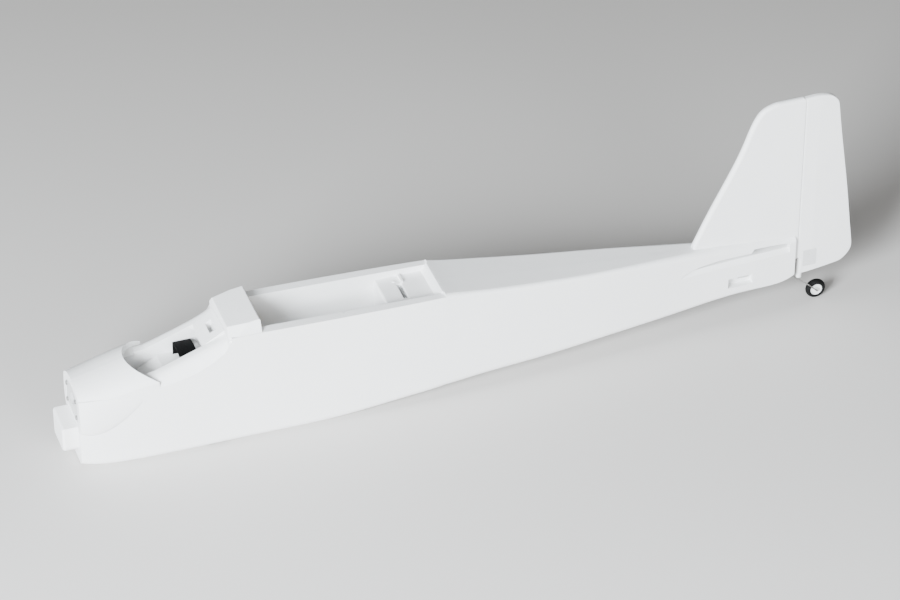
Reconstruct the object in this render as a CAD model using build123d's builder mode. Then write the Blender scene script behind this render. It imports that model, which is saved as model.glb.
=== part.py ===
"""High-wing foam model aeroplane fuselage: two moulded halves with the fin, rudder and tail wheel.

Row frame, millimetres: +X to the nose, +Y to port, +Z up, origin under the middle of the length
on the ground. Stations run forward from the tail wheel's contact point.
"""
from build123d import *
import os

os.makedirs("parts", exist_ok=True)

# ---- driving dimensions -------------------------------------------------------------------
MID_STATION = 448.1       # station that lies over the row origin
NOSE_FACE = 922.5         # station of the flat nose face
BELLY_REAR = 620.0        # station where the flat belly starts to rise
POST_FACE = 31.0          # station of the tail post's rear face
BELLY_RADIUS = 9.0
NOSE_WALL = 905.5         # front end of the nose compartment
SIDE_MAX = 41.5           # largest half width

BRIDGE_FRONT, BRIDGE_REAR = 745.0, 706.0
BRIDGE_HALF, BRIDGE_TOP, BRIDGE_FRONT_TOP = 34.0, 163.0, 157.5
BRIDGE_BEVEL = ((731, 41.5, 148.6), (715, 34, 162.5), (742, 30, 158))
DECK_FRONT = 484.0        # front edge of the rear deck
RAIL_FRONT_Z, RAIL_REAR_Z = 148.6, 142.8
BAY_HALF = 30.0           # wing bay half width
BAY_FLOOR, BAY_CORNER = 92.0, 20.0
BAY_FRONT, SHELF_FRONT, SEAT_REAR = 704.0, 550.0, 484.6
SLOT_STATION, SLOT_HALF, SLOT_WIDTH = 524.0, 14.75, 7.0      # slot for the wing's tongue
SHELF_TOP, SHELF_THICK = 135.0, 12.0

HATCH_HALF = 21.5         # battery bay half width
HATCH_REAR, BAY_END = 752.0, 843.0
TRAY_TOP, TRAY_THICK = 99.0, 3.0
TRAY_BEND, TRAY_END, TRAY_END_TOP = 815.0, 862.0, 72.0
STRAP_STATION, STRAP_WIDTH, STRAP_THICK = 786.0, 21.5, 1.6
NOSE_ROOM = 23.0          # half width of the nose compartment

HINGE = 24.6              # station of the rudder hinge axis
FIN_HALF = 4.4            # fin and rudder half thickness at the hinge
COVE_RADIUS = 5.2         # hollow in the fin post that the rudder's round nose turns in
NOSE_RADIUS = 4.0         # radius of the rudder's nose
PIN_RADIUS, PIN_FIT = 0.8, 0.05

WHEEL_X, WHEEL_Z = -1.6, 12.5
TYRE_RADIUS, TYRE_WIDTH = 12.5, 9.0
HUB_RADIUS, HUB_WIDTH = 7.35, 9.6
WIRE_RADIUS, AXLE_FIT = 0.75, 0.08

SLOT_TOP = [(44.0, 94.2), (68.5, 96.2), (86.6, 97.2), (90.0, 92.6), (107.0, 93.0), (132.6, 93.4),
            (158.0, 91.0), (170.7, 88.0), (178.0, 84.4), (181.8, 80.6)]
SLOT_FLOOR, SLOT_LIP = 80.4, 86.0

SIDE = Plane(origin=(-MID_STATION, 0, 0), x_dir=(1, 0, 0), z_dir=(0, -1, 0))   # local x, y = station, z
TOP = Plane(origin=(-MID_STATION, 0, 0))                                       # local x, y = station, port


def cross(station):
    """Plane across the fuselage: local x, y = port, up."""
    return Plane(origin=(station - MID_STATION, 0, 0), x_dir=(0, 1, 0), z_dir=(1, 0, 0))


def level(z):
    """Plane seen from above at height z: local x, y = station, port."""
    return TOP.offset(z)


def save(part, name):
    part.label = name
    export_step(part, f"parts/{name}.step")


# ---- fuselage hull ------------------------------------------------------------------------
# each section: station, half width, belly height, top height, belly radius, top radius
REAR_SECTIONS = [(POST_FACE, 8.0, 43.7, 100.0, 3.0, 6.5), (110, 12.2, 35.7, 106.5, 5.0, 9.0),
                 (183, 17.2, 29.7, 112.4, 6.0, 6.5), (236, 22.5, 26.0, 117.0, 7.5, 5.5),
                 (288, 27.2, 22.4, 121.2, 9.0, 4.5), (340, 30.8, 18.8, 126.0, 9.0, 4.5),
                 (390, 33.9, 16.6, 131.7, 9.0, 4.5), (441, 36.6, 14.5, 138.4, 9.0, 4.5),
                 (DECK_FRONT, 38.7, 11.6, 145.6, 9.0, 4.5)]
FRONT_TOP = 185.0
FRONT_SECTIONS = [(DECK_FRONT, 38.7, 11.6), (540, 40.6, 6.6), (590, 41.3, 2.0),
                  (BELLY_REAR + 10, 41.5, -0.3), (700, SIDE_MAX, -0.4), (780, SIDE_MAX, -0.4),
                  (840, 41.0, -0.4), (885, 38.2, -0.3), (NOSE_FACE, 31.4, 3.0)]


def section(station, half, low, high, low_radius, high_radius):
    """Cross section of the hull: a box with rounded belly and top corners."""
    with BuildSketch(cross(station)) as shape:
        with Locations((0, (low + high) / 2)):
            Rectangle(2 * half, high - low)
        fillet(shape.vertices().group_by(Axis.Y)[0], low_radius)
        if high_radius:
            fillet(shape.vertices().group_by(Axis.Y)[-1], high_radius)
    return shape.sketch


with BuildPart() as rear_hull:
    for row in REAR_SECTIONS:
        add(section(*row))
    loft()

with BuildPart() as front_hull:
    for station, half, low in FRONT_SECTIONS:
        add(section(station, half, low, FRONT_TOP, BELLY_RADIUS, 0))
    loft()
    with BuildSketch(SIDE):
        with BuildLine():
            Polyline((DECK_FRONT, 0), (NOSE_FACE, 0), (NOSE_FACE, 112), (862, 126), (742, RAIL_FRONT_Z),
                     (BRIDGE_REAR, RAIL_FRONT_Z), (DECK_FRONT, RAIL_REAR_Z), (DECK_FRONT, 0))
        make_face()
    extrude(amount=60, both=True, mode=Mode.INTERSECT)

# the cowl's arch: everything above an ellipse that narrows and drops towards the nose
ARCH_STATIONS = [(935, 30.5, 86, 105.5), (900, 36.5, 92, 112), (862, 41.0, 97, 122),
                 (806, 43.2, 100, 133)]
with BuildPart() as arch_cutter:
    for station, half, spring, crown in ARCH_STATIONS:
        with BuildSketch(cross(station)):
            with BuildLine():
                Line((-60, spring), (-half, spring))
                EllipticalCenterArc((0, spring), half, crown - spring, 0, arc_size=180)
                Line((half, spring), (60, spring))
                Polyline((60, spring), (60, 190), (-60, 190), (-60, spring))
            make_face()
    loft()

# the hatch opening: what lies above the rounded shoulders, inside a U-shaped outline seen from above
SHOULDERS = [(864, 110.0, 104.0), (840, 109.0, 101.0), (829, 110.8, 100.0), (805, 119.6, 104.2),
             (785, 126.8, 110.0), (768, 133.2, 118.2), (752, 140.0, 129.0), (742, 144.5, 143.7)]
SHOULDER_FORM = ((30.0, 0.03), (36.0, 0.32), (41.5, 1.0), (60.0, 2.9))      # half width, share of the drop
with BuildPart() as hatch_cutter:
    for station, inner, outer in SHOULDERS:
        with BuildSketch(cross(station)):
            for side in (1, -1):
                form = [(side * HATCH_HALF, inner)]
                form += [(side * half, inner - share * (inner - outer)) for half, share in SHOULDER_FORM]
                with BuildLine():
                    Spline(*form, tangents=[(side, 0), (side * 0.5, -0.86)])
                    Polyline(form[-1], (side * 60, 200), (0, 200), (0, inner), form[0])
                make_face()
    loft(ruled=True)
    with BuildSketch(level(60)):
        with BuildLine():
            EllipticalCenterArc((812, 0), 48, 44, -90, arc_size=180)
            Polyline((812, 44), (812, 60), (742, 60), (742, -60), (812, -60), (812, -44))
        make_face()
    extrude(amount=150, mode=Mode.INTERSECT)

# the shallow cheeks low on each side of the nose: station, half width, protrusion, bottom, top
CHEEKS = [(NOSE_FACE, 31.2, 4.7, 51.0, 95.5), (905, 35.4, 4.2, 47.5, 96.5), (885, 38.0, 3.0, 54.5, 96.0),
          (866, 39.6, 1.7, 68.0, 94.0), (850, 40.5, 0.4, 84.0, 91.0)]
with BuildPart() as cheeks:
    for side in (1, -1):
        for station, half, bulge, low, high in CHEEKS:
            with BuildSketch(cross(station)):
                with Locations((side * half, (low + high) / 2)):
                    Ellipse(bulge, (high - low) / 2)
        loft()


def bay_section(gap):
    """Wing bay in a cross plane, open at the top, with rounded lower corners."""
    with BuildSketch() as shape:
        with Locations((0, (BAY_FLOOR + 180) / 2)):
            Rectangle(2 * BAY_HALF, 180 - BAY_FLOOR)
        fillet(shape.vertices().group_by(Axis.Y)[0], BAY_CORNER)
        if gap:
            offset(amount=-gap, mode=Mode.REPLACE)
    return shape.sketch


with BuildPart() as cavities:
    with BuildSketch(cross(SHELF_FRONT)):                                 # wing bay
        add(bay_section(0))
    extrude(amount=BAY_FRONT - SHELF_FRONT)
    with BuildSketch(level(SHELF_TOP - SHELF_THICK)):                     # seat of the rear shelf
        with Locations(((SHELF_FRONT + 6 + SEAT_REAR) / 2, 0)):
            Rectangle(SHELF_FRONT + 6 - SEAT_REAR, 2 * BAY_HALF)
    extrude(amount=60)
    with BuildSketch(level(98)):                                          # wing tongue slot
        with Locations((SLOT_STATION, 0)):
            Rectangle(SLOT_WIDTH, 2 * SLOT_HALF)
    extrude(amount=30)
    with BuildSketch(level(104)):                                         # tunnel under the bridge
        with Locations(((HATCH_REAR + BAY_FRONT) / 2, 0)):
            Rectangle(HATCH_REAR - BAY_FRONT + 8, 2 * (HATCH_HALF - 2))
    extrude(amount=28)
    with BuildSketch(level(62)):                                          # below the battery tray
        with Locations(((HATCH_REAR + BAY_END) / 2, 0)):
            Rectangle(BAY_END - HATCH_REAR, 2 * (HATCH_HALF - 2))
    extrude(amount=60)
    with BuildSketch(level(TRAY_TOP - TRAY_THICK)):                       # battery bay
        with Locations(((HATCH_REAR + BAY_END) / 2, 0)):
            Rectangle(BAY_END - HATCH_REAR, 2 * HATCH_HALF)
    extrude(amount=80)
    with BuildSketch(level(10)):                                          # hollow belly
        with Locations(((590 + 850) / 2, 0)):
            Rectangle(260, 62)
    extrude(amount=50)
    with BuildSketch(level(18)):                                          # nose compartment
        with Locations(((TRAY_BEND - 3 + NOSE_WALL) / 2, 0)):
            Rectangle(NOSE_WALL - TRAY_BEND + 3, 2 * NOSE_ROOM)
    extrude(amount=78)
COWL_CAVITY = ((NOSE_WALL, 21.5, 84, 103), (865, 22, 90, 114.5), (838, 22, 92, 120))
with BuildPart() as cowl_cavity:
    for station, half, spring, crown in COWL_CAVITY:
        with BuildSketch(cross(station)):
            with BuildLine():
                EllipticalCenterArc((0, spring), half, crown - spring, 0, arc_size=180)
                Polyline((-half, spring), (-half, 74), (half, 74), (half, spring))
            make_face()
    loft()

# ---- fin and tail -------------------------------------------------------------------------
with BuildPart() as fin:
    with BuildSketch(SIDE):
        with BuildLine():
            Polyline((HINGE, 66), (60, 66), (162, 105), (162.4, 115))
            Spline((162.4, 115), (139.8, 164.7), (101.4, 247.3), (88.4, 279.0), (81.8, 287.4), (74.3, 292.0),
                   (62.0, 295.4))
            Line((62.0, 295.4), (HINGE, 295.8))
            Line((HINGE, 295.8), (HINGE, 66))
        make_face()
    extrude(amount=FIN_HALF, both=True)
    rims = fin.faces().filter_by(Axis.Y).edges()
    rims = rims.filter_by(lambda edge: edge.center().Z > 112 and edge.center().X > HINGE + 6 - MID_STATION)
    fillet(rims, FIN_HALF - 0.4)

with BuildPart() as stab_slot:
    with BuildSketch(SIDE):
        with BuildLine():
            Polyline((POST_FACE + 8, SLOT_FLOOR), (POST_FACE + 8, SLOT_TOP[0][1]), *SLOT_TOP)
            Line(SLOT_TOP[-1], (170, SLOT_FLOOR))
            Line((170, SLOT_FLOOR), (POST_FACE + 8, SLOT_FLOOR))
        make_face()
    extrude(amount=40, both=True)
with BuildPart() as slot_fairing:                                         # the sides slope up to the slot
    for station, half in ((34, 8.2), (110, 12.2), (186, 17.4)):
        with BuildSketch(cross(station)):
            with BuildLine():
                Polyline((60, 120), (60, SLOT_FLOOR - 1), (half + 0.8, SLOT_FLOOR - 1),
                         (half - 4.5, SLOT_LIP), (4.5 - half, SLOT_LIP), (-half - 0.8, SLOT_FLOOR - 1),
                         (-60, SLOT_FLOOR - 1), (-60, 120), (60, 120))
            make_face()
    loft(ruled=True)
    add(stab_slot.part, mode=Mode.INTERSECT)

POCKET = (87.0, 119.0, 48.6, 62.0)      # servo pocket: rear, front, bottom, top
POCKET_WEB = 4.0                        # half of the foam left between the two pockets
with BuildPart() as servo_pockets:
    for side in (1, -1):
        with BuildSketch(SIDE.offset(-side * POCKET_WEB)):
            with Locations(((POCKET[0] + POCKET[1]) / 2, (POCKET[2] + POCKET[3]) / 2)):
                Rectangle(POCKET[1] - POCKET[0], POCKET[3] - POCKET[2])
        extrude(amount=-side * 30)
    with BuildSketch(SIDE):                                               # hole for the servo leads
        with Locations((95.5, 57.4)):
            Rectangle(15, 7.2)
    extrude(amount=POCKET_WEB, both=True)

with BuildPart() as post_cove:
    with BuildSketch(level(36)):
        with Locations((HINGE, 0)):
            Circle(COVE_RADIUS)
    extrude(amount=270)

# seats cut for the fittings
MOUNT_BACK, MOUNT_Z, MOUNT_PCD = 917.0, 80.0, 36.0
MOUNT_SCREWS = [(y, z) for y in (-19.0, 19.0) for z in (65.0, 88.0)]
SCREW_RADIUS, SCREW_HEAD = 1.45, 2.7
GEAR_STATION, GEAR_LENGTH, GEAR_HALF, GEAR_SEAT, GEAR_TOP = 760.0, 30.0, 24.0, 3.0, 9.0
GEAR_HOLES = [(GEAR_STATION + dx, y) for dx in (-10.0, 10.0) for y in (-16.0, 16.0)]
ROD_ENDS = ((222.0, 15.8, 70.0), (556.0, 34.6, 70.0))
ROD_RADIUS = 2.0
HINGE_HEIGHTS = (118.0, 192.0, 266.0)
KNUCKLE_HEIGHT, KNUCKLE_RADIUS, LEAF_LENGTH, LEAF_THICK = 9.0, 2.0, 15.0, 0.8


def arch_outline(half, low, spring, crown):
    """Closed arch profile in a cross plane: straight sides and an elliptical top."""
    with BuildLine() as outline:
        EllipticalCenterArc((0, spring), half, crown - spring, 0, arc_size=180)
        Polyline((-half, spring), (-half, low), (half, low), (half, spring))
    return outline.line


def rods(radius):
    """The two stiffening rods, one in each side wall of the boom."""
    made = []
    for side in (1, -1):
        start = Vector(ROD_ENDS[0][0] - MID_STATION, side * ROD_ENDS[0][1], ROD_ENDS[0][2])
        end = Vector(ROD_ENDS[1][0] - MID_STATION, side * ROD_ENDS[1][1], ROD_ENDS[1][2])
        with BuildPart() as rod:
            with BuildSketch(Plane(origin=start, z_dir=end - start)):
                Circle(radius)
            extrude(amount=(end - start).length)
        made.append(rod.part)
    return made


def leaves(extra):
    """Hinge leaves let into the fin; extra is the slot's clearance."""
    with BuildPart() as made:
        for z in HINGE_HEIGHTS:
            with BuildSketch(level(z - KNUCKLE_HEIGHT / 2 - extra)):
                with Locations((HINGE + LEAF_LENGTH / 2 + 1, 0)):
                    Rectangle(LEAF_LENGTH, LEAF_THICK + 2 * extra)
            extrude(amount=KNUCKLE_HEIGHT + 2 * extra)
    return made.part


with BuildPart() as fitting_seats:
    with BuildSketch(cross(MOUNT_BACK)):                                 # motor mount recess
        add(arch_outline(25.2, 59.8, 82, 98.2))
        make_face()
    extrude(amount=20)
    with BuildSketch(cross(900)):                                        # wires from the motor
        with Locations((0, MOUNT_Z)):
            Circle(8)
        with Locations(*MOUNT_SCREWS, (5.0, 101.0)):
            Circle(SCREW_RADIUS)
    extrude(amount=30)
    with BuildSketch(level(-5)):                                         # landing gear recess
        with Locations((GEAR_STATION, 0)):
            Rectangle(GEAR_LENGTH - 4, 100)
    extrude(amount=5 + GEAR_SEAT)
    with BuildSketch(level(-5)):
        with Locations((GEAR_STATION, 0)):
            RectangleRounded(GEAR_LENGTH + 0.2, 2 * GEAR_HALF + 0.2, 2)
    extrude(amount=5 + GEAR_TOP)
    with BuildSketch(level(138)):                                        # notch in the port wing rail
        with Locations((606, BAY_HALF + 1)):
            Rectangle(3.5, 4)
    extrude(amount=30)

with BuildPart() as hull:
    add(rear_hull.part)
    add(front_hull.part)
    add(arch_cutter.part, mode=Mode.SUBTRACT)
    add(cheeks.part)
    add(fin.part)
    add(hatch_cutter.part, mode=Mode.SUBTRACT)
    add(cavities.part, mode=Mode.SUBTRACT)
    add(cowl_cavity.part, mode=Mode.SUBTRACT)
    add(slot_fairing.part, mode=Mode.SUBTRACT)
    add(servo_pockets.part, mode=Mode.SUBTRACT)
    add(post_cove.part, mode=Mode.SUBTRACT)
    add(fitting_seats.part, mode=Mode.SUBTRACT)
    add(leaves(0.05), mode=Mode.SUBTRACT)
    for rod in rods(ROD_RADIUS):
        add(rod, mode=Mode.SUBTRACT)

with BuildPart() as fuselage_left:
    add(hull.part)
    split(bisect_by=Plane.XZ, keep=Keep.BOTTOM)
with BuildPart() as fuselage_right:
    add(hull.part)
    split(bisect_by=Plane.XZ, keep=Keep.TOP)
save(fuselage_left.part, "fuselage_left")
save(fuselage_right.part, "fuselage_right")

# ---- fixed fittings -----------------------------------------------------------------------
with BuildPart() as wing_bridge:
    for station, top in ((BRIDGE_REAR, BRIDGE_TOP), (BRIDGE_FRONT, BRIDGE_FRONT_TOP)):
        with BuildSketch(cross(station)):
            with BuildLine():
                Polyline((-38, 141), (38, 141), (SIDE_MAX - 0.6, RAIL_FRONT_Z), (BRIDGE_HALF, top),
                         (-BRIDGE_HALF, top), (0.6 - SIDE_MAX, RAIL_FRONT_Z), (-38, 141))
            make_face()
    loft()
    fillet(wing_bridge.faces().sort_by(Axis.Z)[-1].edges(), 1.6)
    for side in (1, -1):                                                  # bevelled front corners
        low, rear, front = [Vector(x - MID_STATION, side * y, z) for x, y, z in BRIDGE_BEVEL]
        outward = (rear - low).cross(front - low) * side
        with BuildSketch(Plane(origin=low, x_dir=rear - low, z_dir=outward)):
            Rectangle(160, 160)
        extrude(amount=60, mode=Mode.SUBTRACT)
    add(hull.part, mode=Mode.SUBTRACT)
save(wing_bridge.part, "wing_bridge")

with BuildPart() as saddle_former:
    with BuildSketch(cross(BAY_FRONT - 3)):
        add(bay_section(0.2))
        with Locations((0, 184)):
            Rectangle(100, 80, mode=Mode.SUBTRACT)
        with Locations((0, 118)):
            Rectangle(2 * HATCH_HALF - 4, 28, mode=Mode.SUBTRACT)
    extrude(amount=3)
save(saddle_former.part, "saddle_former")

with BuildPart() as wing_shelf:
    with BuildSketch(SIDE):
        with BuildLine():
            Polyline((SEAT_REAR + 0.1, SHELF_TOP - SHELF_THICK), (SHELF_FRONT, SHELF_TOP - SHELF_THICK),
                     (SHELF_FRONT, SHELF_TOP), (492, SHELF_TOP), (485.6, 145.2), (SEAT_REAR + 0.1, 145.4),
                     (SEAT_REAR + 0.1, SHELF_TOP - SHELF_THICK))
        make_face()
    extrude(amount=BAY_HALF - 0.1, both=True)
    fillet(wing_shelf.edges().filter_by(Axis.Y).group_by(Axis.X)[-1].sort_by(Axis.Z)[-1], 3.0)
    with BuildSketch(level(SHELF_TOP)):                                   # rib from the slot to the wall
        with Locations((519.6, -(SLOT_HALF + BAY_HALF - 0.1) / 2)):
            Rectangle(2.6, BAY_HALF - 0.1 - SLOT_HALF)
    extrude(amount=2.8)
    with BuildSketch(level(SHELF_TOP)):
        with Locations((528.5, -20)):
            Circle(1.8)
    extrude(amount=1.0)
    with BuildSketch(level(SHELF_TOP + 1)):
        with Locations((SLOT_STATION, 0)):
            Rectangle(SLOT_WIDTH, 2 * SLOT_HALF)
    extrude(amount=-SHELF_THICK - 1, mode=Mode.SUBTRACT)
save(wing_shelf.part, "wing_shelf")

with BuildPart() as hatch_socket:
    with BuildSketch(SIDE):
        with BuildLine():
            Polyline((745.2, 131), (HATCH_REAR, 131), (771, 126), (771, 131.8), (745.2, 147.0), (745.2, 131))
        make_face()
    extrude(amount=HATCH_HALF - 0.1, both=True)
    with BuildSketch(level(150)):
        with Locations((755.9, 0)):
            Rectangle(7.0, 20)
    extrude(amount=-40, mode=Mode.SUBTRACT)
    add(hull.part, mode=Mode.SUBTRACT)
save(hatch_socket.part, "hatch_socket")

STRAP_HALF = 18.6                       # outer half width of the strap's loop
STRAP_LOW, STRAP_SIDE, STRAP_HIGH = TRAY_TOP - TRAY_THICK - 2.4, 114.8, 117.6
with BuildPart() as battery_tray:
    with BuildSketch(level(TRAY_TOP - TRAY_THICK)):
        with Locations(((HATCH_REAR + 0.2 + TRAY_BEND) / 2, 0)):
            Rectangle(TRAY_BEND - HATCH_REAR - 0.2, 2 * HATCH_HALF - 0.2)
        with Locations((STRAP_STATION, STRAP_HALF - 0.8), (STRAP_STATION, 0.8 - STRAP_HALF)):
            Rectangle(STRAP_WIDTH + 1, STRAP_THICK + 0.8, mode=Mode.SUBTRACT)
    extrude(amount=TRAY_THICK)
    with BuildSketch(SIDE):                                               # ramp down into the nose
        with BuildLine():
            Polyline((TRAY_BEND, TRAY_TOP - TRAY_THICK), (TRAY_END, TRAY_END_TOP - TRAY_THICK),
                     (TRAY_END, TRAY_END_TOP), (TRAY_BEND, TRAY_TOP), (TRAY_BEND, TRAY_TOP - TRAY_THICK))
        make_face()
    extrude(amount=HATCH_HALF - 0.1, both=True)
save(battery_tray.part, "battery_tray")

with BuildPart() as battery_strap:
    with BuildSketch(cross(STRAP_STATION - STRAP_WIDTH / 2)):
        with BuildLine():
            Polyline((-STRAP_HALF, STRAP_LOW), (STRAP_HALF, STRAP_LOW), (STRAP_HALF, STRAP_SIDE))
            ThreePointArc((STRAP_HALF, STRAP_SIDE), (0, STRAP_HIGH), (-STRAP_HALF, STRAP_SIDE))
            Line((-STRAP_HALF, STRAP_SIDE), (-STRAP_HALF, STRAP_LOW))
        make_face()
        offset(amount=-STRAP_THICK, mode=Mode.SUBTRACT)
    extrude(amount=STRAP_WIDTH)
save(battery_strap.part, "battery_strap")

with BuildPart() as motor_mount:
    with BuildSketch(cross(MOUNT_BACK)):
        add(arch_outline(25, 60, 82, 98))
        make_face()
        with Locations((0, MOUNT_Z)):
            Circle(8, mode=Mode.SUBTRACT)
            with PolarLocations(MOUNT_PCD / 2, 4, start_angle=45):
                Circle(1.6, mode=Mode.SUBTRACT)
        with Locations(*MOUNT_SCREWS):
            Circle(SCREW_RADIUS + 0.1, mode=Mode.SUBTRACT)
    extrude(amount=5)
save(motor_mount.part, "motor_mount")

with BuildPart() as mount_screws:
    with BuildSketch(cross(MOUNT_BACK - 10)):
        with Locations(*MOUNT_SCREWS):
            Circle(SCREW_RADIUS)
    extrude(amount=15)
    with BuildSketch(cross(MOUNT_BACK + 5)):
        with Locations(*MOUNT_SCREWS):
            Circle(SCREW_HEAD)
    extrude(amount=1.8)
    with BuildSketch(cross(MOUNT_BACK + 6.8)):
        with Locations(*MOUNT_SCREWS):
            Rectangle(3.4, 0.7)
            Rectangle(0.7, 3.4)
    extrude(amount=-1.0, mode=Mode.SUBTRACT)
save(mount_screws.part, "mount_screws")

CHIN_FRONT, CHIN_HALF, CHIN_LOW, CHIN_HIGH = 941.0, 22.0, 19.0, 54.0
with BuildPart() as chin_block:
    with BuildSketch(cross(NOSE_FACE)):
        with Locations((0, (CHIN_LOW + CHIN_HIGH) / 2)):
            Rectangle(2 * CHIN_HALF, CHIN_HIGH - CHIN_LOW)
        fillet(vertices().group_by(Axis.Y)[0], 8)
    extrude(amount=CHIN_FRONT - NOSE_FACE)
    fillet(chin_block.faces().sort_by(Axis.X)[-1].edges(), 3.5)
save(chin_block.part, "chin_block")

with BuildPart() as gear_block:
    with BuildSketch(level(GEAR_SEAT)):
        with Locations((GEAR_STATION, 0)):
            RectangleRounded(GEAR_LENGTH, 2 * GEAR_HALF, 2)
        with Locations(*GEAR_HOLES):
            Circle(1.25, mode=Mode.SUBTRACT)
    extrude(amount=GEAR_TOP - GEAR_SEAT)
save(gear_block.part, "gear_block")

with BuildPart() as boom_rods:
    for rod in rods(ROD_RADIUS):
        add(rod)
save(boom_rods.part, "boom_rods")

with BuildPart() as hinge_leaves:
    add(leaves(0))
    for z in HINGE_HEIGHTS:
        with BuildSketch(level(z - KNUCKLE_HEIGHT / 2)):
            with Locations((HINGE, 0)):
                Circle(KNUCKLE_RADIUS)
            with Locations((HINGE + 1.5, 0)):
                Rectangle(3, LEAF_THICK)
            with Locations((HINGE, 0)):
                Circle(PIN_RADIUS + PIN_FIT, mode=Mode.SUBTRACT)
        extrude(amount=KNUCKLE_HEIGHT)
    with BuildSketch(level(90)):
        with Locations((HINGE, 0)):
            Circle(PIN_RADIUS + PIN_FIT)
    extrude(amount=200, mode=Mode.SUBTRACT)
save(hinge_leaves.part, "hinge_leaves")

# ---- rudder -------------------------------------------------------------------------------
RUDDER_CUT = 66.3                      # below this height the rudder's nose is the plastic post
POST_STATION, POST_RADIUS, POST_LOW = 21.6, 3.6, 35.6
TRAILING_HALF = 0.9
PLATE = (2.0, 19.0, 52.0, 75.0, 0.9)   # horn plate: rear, front, bottom, top, thickness
PLATE_HOLES = ((10.5, 58.5), (10.5, 68.5))
WIRE_TOP = 60.4                        # the wire's hooked end in the post

with BuildPart() as rudder:
    with BuildSketch(SIDE):
        with BuildLine():
            Line((HINGE + NOSE_RADIUS, 41), (HINGE + NOSE_RADIUS, 294.6))
            Line((HINGE + NOSE_RADIUS, 294.6), (14, 295.7))
            Spline((14, 295.7), (2.4, 294.9), (-7.5, 291.5), (-13.8, 285), (-17.0, 274.0),
                   tangents=[(-1, 0), (-0.12, -1)])
            Spline((-17.0, 274.0), (-34.9, 149), (-43.6, 82), (-44.8, 68),
                   tangents=[(-0.12, -1), (0.02, -1)])
            Spline((-44.8, 68), (-41.5, 58.5), (-33, 50.2), (-20, 46.8), tangents=[(0.02, -1), (1, -0.12)])
            Line((-20, 46.8), (12, 42.2))
            Line((12, 42.2), (HINGE + NOSE_RADIUS, 41))
        make_face()
    extrude(amount=NOSE_RADIUS + 0.4, both=True)
    rims = rudder.faces().filter_by(Axis.Y).edges()
    rims = rims.filter_by(lambda edge: edge.center().Z > 66 and edge.center().X < HINGE - MID_STATION)
    fillet(rims, 3.0)
    with BuildSketch(level(30)):
        with BuildLine():
            CenterArc((HINGE, 0), NOSE_RADIUS, -90, 180)
            Line((HINGE, NOSE_RADIUS), (8, 3.85))
            Line((8, 3.85), (-46, TRAILING_HALF))
            Line((-46, TRAILING_HALF), (-46, -TRAILING_HALF))
            Line((-46, -TRAILING_HALF), (8, -3.85))
            Line((8, -3.85), (HINGE, -NOSE_RADIUS))
        make_face()
    extrude(amount=280, mode=Mode.INTERSECT)
    for z in HINGE_HEIGHTS:                                              # gaps for the hinge knuckles
        with BuildSketch(level(z - KNUCKLE_HEIGHT / 2 - 0.4)):
            with Locations((HINGE + 1.2, 0)):
                Rectangle(2 * KNUCKLE_RADIUS + 3.4, 5.8)
        extrude(amount=KNUCKLE_HEIGHT + 0.8, mode=Mode.SUBTRACT)
        with BuildSketch(level(z - 12)):
            with Locations((HINGE, 0)):
                Circle(PIN_RADIUS)
        extrude(amount=24, mode=Mode.SUBTRACT)
    with BuildSketch(level(30)):                                         # room for the post
        with Locations((POST_STATION, 0)):
            Circle(POST_RADIUS)
        with Locations((POST_STATION + 10, 0)):
            Rectangle(20, 20)
    extrude(amount=RUDDER_CUT - 30, mode=Mode.SUBTRACT)
    with BuildSketch(SIDE.offset(-3.0)):                                 # shallow seat of the horn plate
        with Locations(((PLATE[0] + PLATE[1]) / 2, (PLATE[2] + PLATE[3]) / 2)):
            Rectangle(PLATE[1] - PLATE[0], PLATE[3] - PLATE[2])
    extrude(amount=-10, mode=Mode.SUBTRACT)
save(rudder.part, "rudder")

with BuildPart() as rudder_post:
    with BuildSketch(level(POST_LOW)):
        with Locations((POST_STATION, 0)):
            Circle(POST_RADIUS)
    extrude(amount=RUDDER_CUT - 0.1 - POST_LOW)
    with BuildSketch(Plane(origin=(POST_STATION - 2.2 - MID_STATION, 0, WIRE_TOP), z_dir=(1, 0, 0))):
        Circle(WIRE_RADIUS)
    extrude(amount=10, mode=Mode.SUBTRACT)
save(rudder_post.part, "rudder_post")

with BuildPart() as horn_plate:
    with BuildSketch(SIDE.offset(-3.0)):
        with Locations(((PLATE[0] + PLATE[1]) / 2, (PLATE[2] + PLATE[3]) / 2)):
            RectangleRounded(PLATE[1] - PLATE[0] - 0.1, PLATE[3] - PLATE[2] - 0.1, 1.5)
        with Locations(*PLATE_HOLES):
            Circle(0.9, mode=Mode.SUBTRACT)
    extrude(amount=-PLATE[4])
save(horn_plate.part, "horn_plate")

with BuildPart() as hinge_pins:
    for z in HINGE_HEIGHTS:
        with BuildSketch(level(z - 11.5)):
            with Locations((HINGE, 0)):
                Circle(PIN_RADIUS)
        extrude(amount=23)
save(hinge_pins.part, "hinge_pins")

# ---- tail wheel ---------------------------------------------------------------------------
AXLE_START, AXLE_END = -7.2, 7.6
WIRE_PATH = [(WHEEL_X, AXLE_START, WHEEL_Z), (WHEEL_X, AXLE_END, WHEEL_Z), (10.5, 7.4, 24.6),
             (HINGE, 0, 33.0), (30.0, 0, 41.0), (27.0, 0, WIRE_TOP), (POST_STATION - 2.2, 0, WIRE_TOP)]
with BuildPart() as tailwheel_wire:
    with BuildLine():
        path = FilletPolyline(*[(x - MID_STATION, y, z) for x, y, z in WIRE_PATH], radius=1.9)
    with BuildSketch(Plane(origin=path @ 0, z_dir=path % 0)):
        Circle(WIRE_RADIUS)
    sweep()
save(tailwheel_wire.part, "tailwheel_wire")


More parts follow.
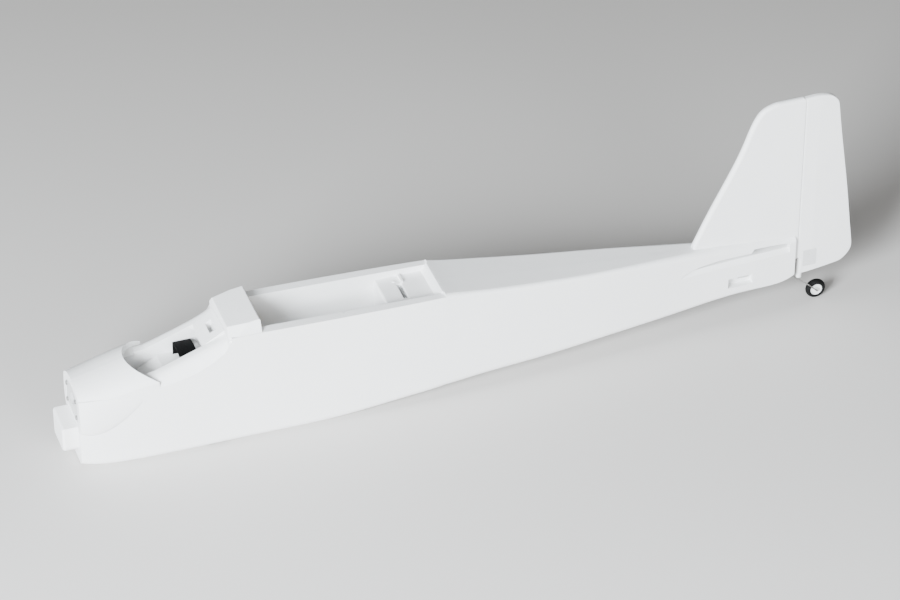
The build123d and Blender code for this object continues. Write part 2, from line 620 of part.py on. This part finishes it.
def about_axle(radius, start, end):
    """Disc on the wheel's axle from start to end, measured to port."""
    with BuildPart() as disc:
        start_plane = Plane(origin=(WHEEL_X - MID_STATION, start, WHEEL_Z), x_dir=(1, 0, 0), z_dir=(0, 1, 0))
        with BuildSketch(start_plane):
            Circle(radius)
        extrude(amount=end - start)
    return disc.part


AXLE_PLANE = Plane(origin=(WHEEL_X - MID_STATION, 0, WHEEL_Z), x_dir=(0, 1, 0), z_dir=(1, 0, 0))
AXLE = Axis((WHEEL_X - MID_STATION, 0, WHEEL_Z), (0, 1, 0))
with BuildPart() as wheel_hub:
    with BuildSketch(AXLE_PLANE):
        with BuildLine():
            Polyline((-HUB_WIDTH / 2, WIRE_RADIUS + AXLE_FIT), (-HUB_WIDTH / 2, 2.6), (-3.2, 2.9),
                     (-3.0, 5.8), (-3.8, 6.3), (-3.8, HUB_RADIUS), (3.8, HUB_RADIUS), (3.8, 6.3),
                     (3.0, 5.8), (3.2, 2.9), (HUB_WIDTH / 2, 2.6), (HUB_WIDTH / 2, WIRE_RADIUS + AXLE_FIT),
                     (-HUB_WIDTH / 2, WIRE_RADIUS + AXLE_FIT))
        make_face()
    revolve(axis=AXLE)
save(wheel_hub.part, "wheel_hub")

with BuildPart() as tyre:
    with BuildSketch(AXLE_PLANE):
        with BuildLine():
            Polyline((-3.6, HUB_RADIUS), (-TYRE_WIDTH / 2, 8.6), (-TYRE_WIDTH / 2, 10.0))
            ThreePointArc((-TYRE_WIDTH / 2, 10.0), (0, TYRE_RADIUS), (TYRE_WIDTH / 2, 10.0))
            Polyline((TYRE_WIDTH / 2, 10.0), (TYRE_WIDTH / 2, 8.6), (3.6, HUB_RADIUS), (-3.6, HUB_RADIUS))
        make_face()
    revolve(axis=AXLE)
save(tyre.part, "tyre")

with BuildPart() as wheel_collar:
    add(about_axle(2.2, AXLE_START + 0.3, -HUB_WIDTH / 2 - 0.15))
    add(about_axle(WIRE_RADIUS, -10, 10), mode=Mode.SUBTRACT)
save(wheel_collar.part, "wheel_collar")
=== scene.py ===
"""Looks of the foam model aeroplane fuselage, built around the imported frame. Metres, row frame."""

import math

import bpy
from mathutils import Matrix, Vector

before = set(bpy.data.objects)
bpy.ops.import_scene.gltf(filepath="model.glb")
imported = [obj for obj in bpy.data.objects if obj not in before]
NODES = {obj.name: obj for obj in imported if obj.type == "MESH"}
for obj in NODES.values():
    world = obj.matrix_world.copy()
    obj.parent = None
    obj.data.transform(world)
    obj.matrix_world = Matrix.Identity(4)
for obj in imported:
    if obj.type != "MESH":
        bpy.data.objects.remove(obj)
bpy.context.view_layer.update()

MM = 0.001
COLOUR_A, COLOUR_B, COLOUR_OUT = 6, 7, 2      # the Mix node's sockets for colours


# ---- node material helpers ----------------------------------------------------------------
class Shader:
    """A small wrapper that builds one Principled material from named node steps."""

    def __init__(self, name):
        self.material = bpy.data.materials.new(name)
        self.material.use_nodes = True
        self.nodes = self.material.node_tree.nodes
        self.links = self.material.node_tree.links
        self.bsdf = self.nodes["Principled BSDF"]
        self.coords = self.nodes.new("ShaderNodeTexCoord").outputs["Object"]

    def node(self, kind, inputs=None, **settings):
        made = self.nodes.new(kind)
        for key, value in settings.items():
            setattr(made, key, value)
        for key, value in (inputs or {}).items():
            if isinstance(value, bpy.types.NodeSocket):
                self.links.new(value, made.inputs[key])
            else:
                made.inputs[key].default_value = value
        return made

    def noise(self, scale, detail=2.0, rough=0.5, vector=None):
        made = self.node("ShaderNodeTexNoise", {"Vector": vector or self.coords, "Scale": scale,
                                                "Detail": detail, "Roughness": rough})
        return made.outputs["Fac"]

    def voronoi(self, scale, feature="F1", randomness=1.0, vector=None):
        made = self.node("ShaderNodeTexVoronoi", {"Vector": vector or self.coords, "Scale": scale,
                                                  "Randomness": randomness}, feature=feature)
        return made.outputs["Distance"]

    def remap(self, value, low, high, to_low=0.0, to_high=1.0):
        made = self.node("ShaderNodeMapRange", {"Value": value, "From Min": low, "From Max": high,
                                                "To Min": to_low, "To Max": to_high})
        return made.outputs["Result"]

    def math(self, operation, a, b):
        return self.node("ShaderNodeMath", {0: a, 1: b}, operation=operation).outputs[0]

    def mix(self, factor, a, b):
        """Colour from a, at factor 0, to b, at factor 1. Each is a socket or a plain (r, g, b)."""
        a, b = (end if isinstance(end, bpy.types.NodeSocket) else (*end, 1) for end in (a, b))
        made = self.node("ShaderNodeMix", {0: factor, COLOUR_A: a, COLOUR_B: b}, data_type="RGBA")
        return made.outputs[COLOUR_OUT]

    def bump(self, height, strength, distance, normal=None):
        inputs = {"Height": height, "Strength": strength, "Distance": distance}
        if normal is not None:
            inputs["Normal"] = normal
        return self.node("ShaderNodeBump", inputs).outputs["Normal"]

    def set(self, **values):
        """Sets or links inputs of the Principled node and returns the finished material."""
        for key, value in values.items():
            socket = self.bsdf.inputs[key.replace("_", " ")]
            if isinstance(value, bpy.types.NodeSocket):
                self.links.new(value, socket)
            else:
                socket.default_value = value
        return self.material


def foam_material(name, base=(0.88, 0.88, 0.875)):
    """Expanded bead foam: faint bead cells with thin seams, fine skin grain and slow tone changes."""
    s = Shader(name)
    seams = s.remap(s.voronoi(300.0, feature="DISTANCE_TO_EDGE"), 0.0, 0.11)
    beads = s.remap(s.voronoi(300.0), 0.0, 0.6, 0.5, 0.0)
    patches = s.remap(s.noise(22.0, 3.0, 0.55), 0.42, 0.62, 0.15, 1.0)
    slow = s.remap(s.noise(6.0, 3.0, 0.55), 0.32, 0.68)
    tone = s.mix(slow, tuple(0.972 * c for c in base), base)
    seam_tone = s.math("MULTIPLY", s.remap(seams, 0.0, 1.0, 0.16, 0.0), patches)
    tone = s.mix(seam_tone, tone, tuple(0.88 * c for c in base))
    specks = s.remap(s.noise(900.0, 1.0), 0.70, 0.78, 0.0, 0.30)
    tone = s.mix(specks, tone, tuple(0.90 * c for c in base))
    rough = s.remap(s.noise(60.0, 4.0), 0.3, 0.7, 0.55, 0.72)
    relief = s.math("MULTIPLY", s.math("ADD", s.math("MULTIPLY", seams, 0.7), beads), patches)
    normal = s.bump(relief, 0.20, 0.0004)
    normal = s.bump(s.noise(2600.0, 3.0, 0.6), 0.10, 0.0002, normal)
    normal = s.bump(s.noise(34.0, 2.0), 0.10, 0.0022, normal)
    return s.set(Base_Color=tone, Roughness=rough, Normal=normal, Subsurface_Weight=0.15,
                 Subsurface_Radius=(0.004, 0.0038, 0.0035), Subsurface_Scale=1.0, Specular_IOR_Level=0.35)


def plastic_material(name, base, gloss=0.42, grain=1500.0):
    """Moulded plastic: fine spark texture, slow flow marks and slight wear in the tone."""
    s = Shader(name)
    flow = s.remap(s.noise(45.0, 3.0, 0.6), 0.3, 0.7)
    tone = s.mix(flow, tuple(0.93 * c for c in base), base)
    tone = s.mix(s.remap(s.noise(700.0, 2.0), 0.62, 0.75, 0.0, 0.35), tone, tuple(0.85 * c for c in base))
    rough = s.remap(s.noise(120.0, 4.0), 0.3, 0.7, gloss - 0.06, gloss + 0.10)
    normal = s.bump(s.noise(grain, 2.0, 0.6), 0.18, 0.00015)
    normal = s.bump(s.noise(90.0, 2.0), 0.08, 0.0005, normal)
    return s.set(Base_Color=tone, Roughness=rough, Normal=normal, Specular_IOR_Level=0.45)


def plywood_material(name):
    """Light plywood: long grain in the height, pores and a glued ply edge."""
    s = Shader(name)
    stretched = s.node("ShaderNodeMapping", {"Vector": s.coords, "Scale": (1.0, 1.0, 0.07)})
    grain_space = stretched.outputs["Vector"]
    grain = s.noise(420.0, 5.0, 0.65, vector=grain_space)
    tone = s.mix(s.remap(grain, 0.35, 0.65), (0.50, 0.37, 0.22), (0.68, 0.54, 0.36))
    plies = s.node("ShaderNodeTexWave", {"Vector": s.coords, "Scale": 300.0, "Distortion": 1.5},
                   bands_direction="X").outputs["Fac"]
    tone = s.mix(s.remap(plies, 0.6, 0.9, 0.0, 0.3), tone, (0.36, 0.24, 0.13))
    pores = s.remap(s.noise(2400.0, 2.0, 0.5, vector=grain_space), 0.58, 0.70)
    tone = s.mix(s.remap(pores, 0.0, 1.0, 0.0, 0.4), tone, (0.30, 0.20, 0.11))
    normal = s.bump(grain, 0.25, 0.0003)
    return s.set(Base_Color=tone, Roughness=s.remap(grain, 0.3, 0.7, 0.6, 0.78), Normal=normal)


def strap_material(name):
    """Hook-and-loop strap: woven ground under a fuzz of short loops."""
    s = Shader(name)
    weave = s.node("ShaderNodeTexWave",
                   {"Vector": s.coords, "Scale": 620.0, "Distortion": 2.5, "Detail": 2.0},
                   bands_direction="X").outputs["Fac"]
    loops = s.voronoi(1300.0)
    fuzz = s.noise(2200.0, 4.0, 0.7)
    tone = s.mix(s.remap(fuzz, 0.35, 0.70), (0.0008, 0.0008, 0.0009), (0.004, 0.004, 0.0043))
    tone = s.mix(s.remap(loops, 0.0, 0.35, 0.35, 0.0), tone, (0.010, 0.010, 0.0105))
    height = s.math("ADD", s.math("MULTIPLY", weave, 0.5), s.math("ADD", loops, fuzz))
    normal = s.bump(height, 0.9, 0.0007)
    return s.set(Base_Color=tone, Roughness=s.remap(fuzz, 0.3, 0.7, 0.82, 0.98), Normal=normal,
                 Specular_IOR_Level=0.12)


def metal_material(name, base, gloss=0.30, stretch=(1.0, 1.0, 0.12), metallic=1.0):
    """Drawn metal: fine scratches along one direction, small stains and uneven gloss."""
    s = Shader(name)
    drawn = s.node("ShaderNodeMapping", {"Vector": s.coords, "Scale": stretch}).outputs["Vector"]
    lines = s.noise(3000.0, 3.0, 0.6, vector=drawn)
    stain = s.remap(s.noise(260.0, 4.0, 0.6), 0.52, 0.72)
    tone = s.mix(s.remap(lines, 0.35, 0.65), tuple(0.82 * c for c in base), base)
    tone = s.mix(s.math("MULTIPLY", stain, 0.35), tone, tuple(0.62 * c for c in base))
    rough = s.remap(stain, 0.0, 1.0, gloss, gloss + 0.22)
    return s.set(Base_Color=tone, Roughness=rough, Metallic=metallic, Normal=s.bump(lines, 0.22, 0.0001))


def carbon_material(name):
    """Pultruded rod: long fibres with a dull resin skin."""
    s = Shader(name)
    fibres = s.node("ShaderNodeMapping", {"Vector": s.coords, "Scale": (0.03, 1.0, 1.0)}).outputs["Vector"]
    lines = s.noise(2600.0, 4.0, 0.65, vector=fibres)
    tone = s.mix(s.remap(lines, 0.35, 0.65), (0.012, 0.012, 0.013), (0.045, 0.045, 0.048))
    rough = s.remap(lines, 0.3, 0.7, 0.34, 0.52)
    return s.set(Base_Color=tone, Roughness=rough, Normal=s.bump(lines, 0.3, 0.0001))


def tyre_material(name):
    """Dense black foam tyre: open cells, scuffs on the tread and a little dust."""
    s = Shader(name)
    cells = s.voronoi(1500.0)
    dust = s.remap(s.noise(240.0, 4.0, 0.65), 0.55, 0.75)
    tone = s.mix(s.remap(cells, 0.1, 0.5), (0.0010, 0.0010, 0.0010), (0.0035, 0.0035, 0.0035))
    tone = s.mix(s.math("MULTIPLY", dust, 0.25), tone, (0.020, 0.019, 0.018))
    height = s.math("ADD", cells, s.math("MULTIPLY", s.noise(500.0, 3.0), 0.8))
    rough = s.remap(dust, 0.0, 1.0, 0.72, 0.92)
    return s.set(Base_Color=tone, Roughness=rough, Normal=s.bump(height, 0.55, 0.0004),
                 Specular_IOR_Level=0.18)


FOAM = foam_material("bead_foam")
WHITE_PLASTIC = plastic_material("white_plastic", (0.82, 0.82, 0.81))
MATERIALS = {
    "fuselage_left": FOAM, "fuselage_right": FOAM, "wing_bridge": FOAM, "wing_shelf": FOAM,
    "hatch_socket": FOAM, "chin_block": FOAM, "rudder": FOAM,
    "battery_tray": WHITE_PLASTIC, "rudder_post": WHITE_PLASTIC,
    "horn_plate": plastic_material("horn_plastic", (0.67, 0.67, 0.67), 0.5),
    "hinge_leaves": WHITE_PLASTIC, "wheel_hub": plastic_material("hub_plastic", (0.78, 0.78, 0.77), 0.36),
    "motor_mount": plastic_material("mount_plastic", (0.66, 0.66, 0.655), 0.48),
    "gear_block": plastic_material("gear_plastic", (0.30, 0.30, 0.30), 0.5),
    "wheel_collar": plastic_material("collar_plastic", (0.02, 0.02, 0.021), 0.4),
    "saddle_former": plywood_material("plywood"), "battery_strap": strap_material("hook_and_loop"),
    "boom_rods": carbon_material("carbon"), "tyre": tyre_material("tyre_foam"),
    "hinge_pins": metal_material("pin_steel", (0.62, 0.62, 0.61)),
    "mount_screws": metal_material("screw_steel", (0.55, 0.55, 0.54), 0.28, (0.15, 1.0, 1.0)),
    "tailwheel_wire": metal_material("wire_steel", (0.34, 0.33, 0.32), 0.30, (0.3, 0.3, 0.1)),
}
for name, material in MATERIALS.items():
    NODES[name].data.materials.clear()
    NODES[name].data.materials.append(material)

# moulded foam and plastic have small rounded edges
SOFT_EDGES = {"fuselage_left": 0.9, "fuselage_right": 0.9, "rudder": 0.9, "wing_bridge": 0.6,
              "wing_shelf": 0.6, "hatch_socket": 0.7, "battery_tray": 0.4, "motor_mount": 0.4,
              "horn_plate": 0.2, "gear_block": 0.4}      # bevel widths in millimetres
for name, width in SOFT_EDGES.items():
    bevel = NODES[name].modifiers.new("soft_edges", "BEVEL")
    bevel.width = width * MM
    bevel.segments = 3
    bevel.limit_method = "ANGLE"
    bevel.angle_limit = math.radians(40)
    bevel.use_clamp_overlap = True

# ---- camera, light and floor --------------------------------------------------------------
CAMERA_AT = Vector((1.26005, 3.57129, 2.90202))
CAMERA_VIEW = Vector((-0.26419, -0.75957, -0.59436))
camera_data = bpy.data.cameras.new("camera")
camera_data.lens = 161.42
camera_data.sensor_width = 36.0
camera_data.clip_end = 50.0
camera = bpy.data.objects.new("camera", camera_data)
camera.location = CAMERA_AT
camera.rotation_euler = CAMERA_VIEW.to_track_quat("-Z", "Y").to_euler()
bpy.context.scene.collection.objects.link(camera)
bpy.context.scene.camera = camera


def area_light(name, location, target, size, power, color=(1, 1, 1)):
    data = bpy.data.lights.new(name, "AREA")
    data.shape = "DISK"
    data.size = size
    data.energy = power
    data.color = color
    light = bpy.data.objects.new(name, data)
    light.location = location
    light.rotation_euler = (Vector(target) - Vector(location)).to_track_quat("-Z", "Y").to_euler()
    bpy.context.scene.collection.objects.link(light)


MIDDLE = (0.05, 0.0, 0.1)
area_light("key", (3.1, 2.8, 1.95), MIDDLE, 2.0, 840.0, (0.90, 0.955, 1.0))
area_light("front", (-0.6, 3.9, 1.3), MIDDLE, 2.0, 90.0, (0.93, 0.965, 1.0))
area_light("low_left", (1.3, 2.4, 1.9), (0.5, 1.1, 0.0), 1.2, 26.0, (0.985, 0.995, 1.0))

world = bpy.data.worlds.new("studio")
world.use_nodes = True
world.node_tree.nodes["Background"].inputs["Color"].default_value = (0.95, 0.965, 0.96, 1)
world.node_tree.nodes["Background"].inputs["Strength"].default_value = 0.30
bpy.context.scene.world = world

# the floor gets darker away from the lights
floor_shader = Shader("studio_floor")
axes = floor_shader.node("ShaderNodeSeparateXYZ", {0: floor_shader.coords}).outputs
depth = floor_shader.math("ADD", floor_shader.math("MULTIPLY", axes["X"], 0.33), axes["Y"])
falloff = floor_shader.remap(depth, -0.85, 0.40)
floor_tone = floor_shader.mix(falloff, (0.42, 0.402, 0.384), (0.68, 0.660, 0.640))
drift = floor_shader.remap(floor_shader.noise(1.2, 2.0), 0.3, 0.7, 0.0, 0.06)
floor_tone = floor_shader.mix(drift, floor_tone, (0.48, 0.46, 0.44))
floor_shader.set(Base_Color=floor_tone, Roughness=0.85)
bpy.ops.mesh.primitive_grid_add(x_subdivisions=8, y_subdivisions=8, size=30.0, location=(0, 0, 0))
floor = bpy.context.object
floor.name = "studio_floor"
floor.data.materials.append(floor_shader.material)
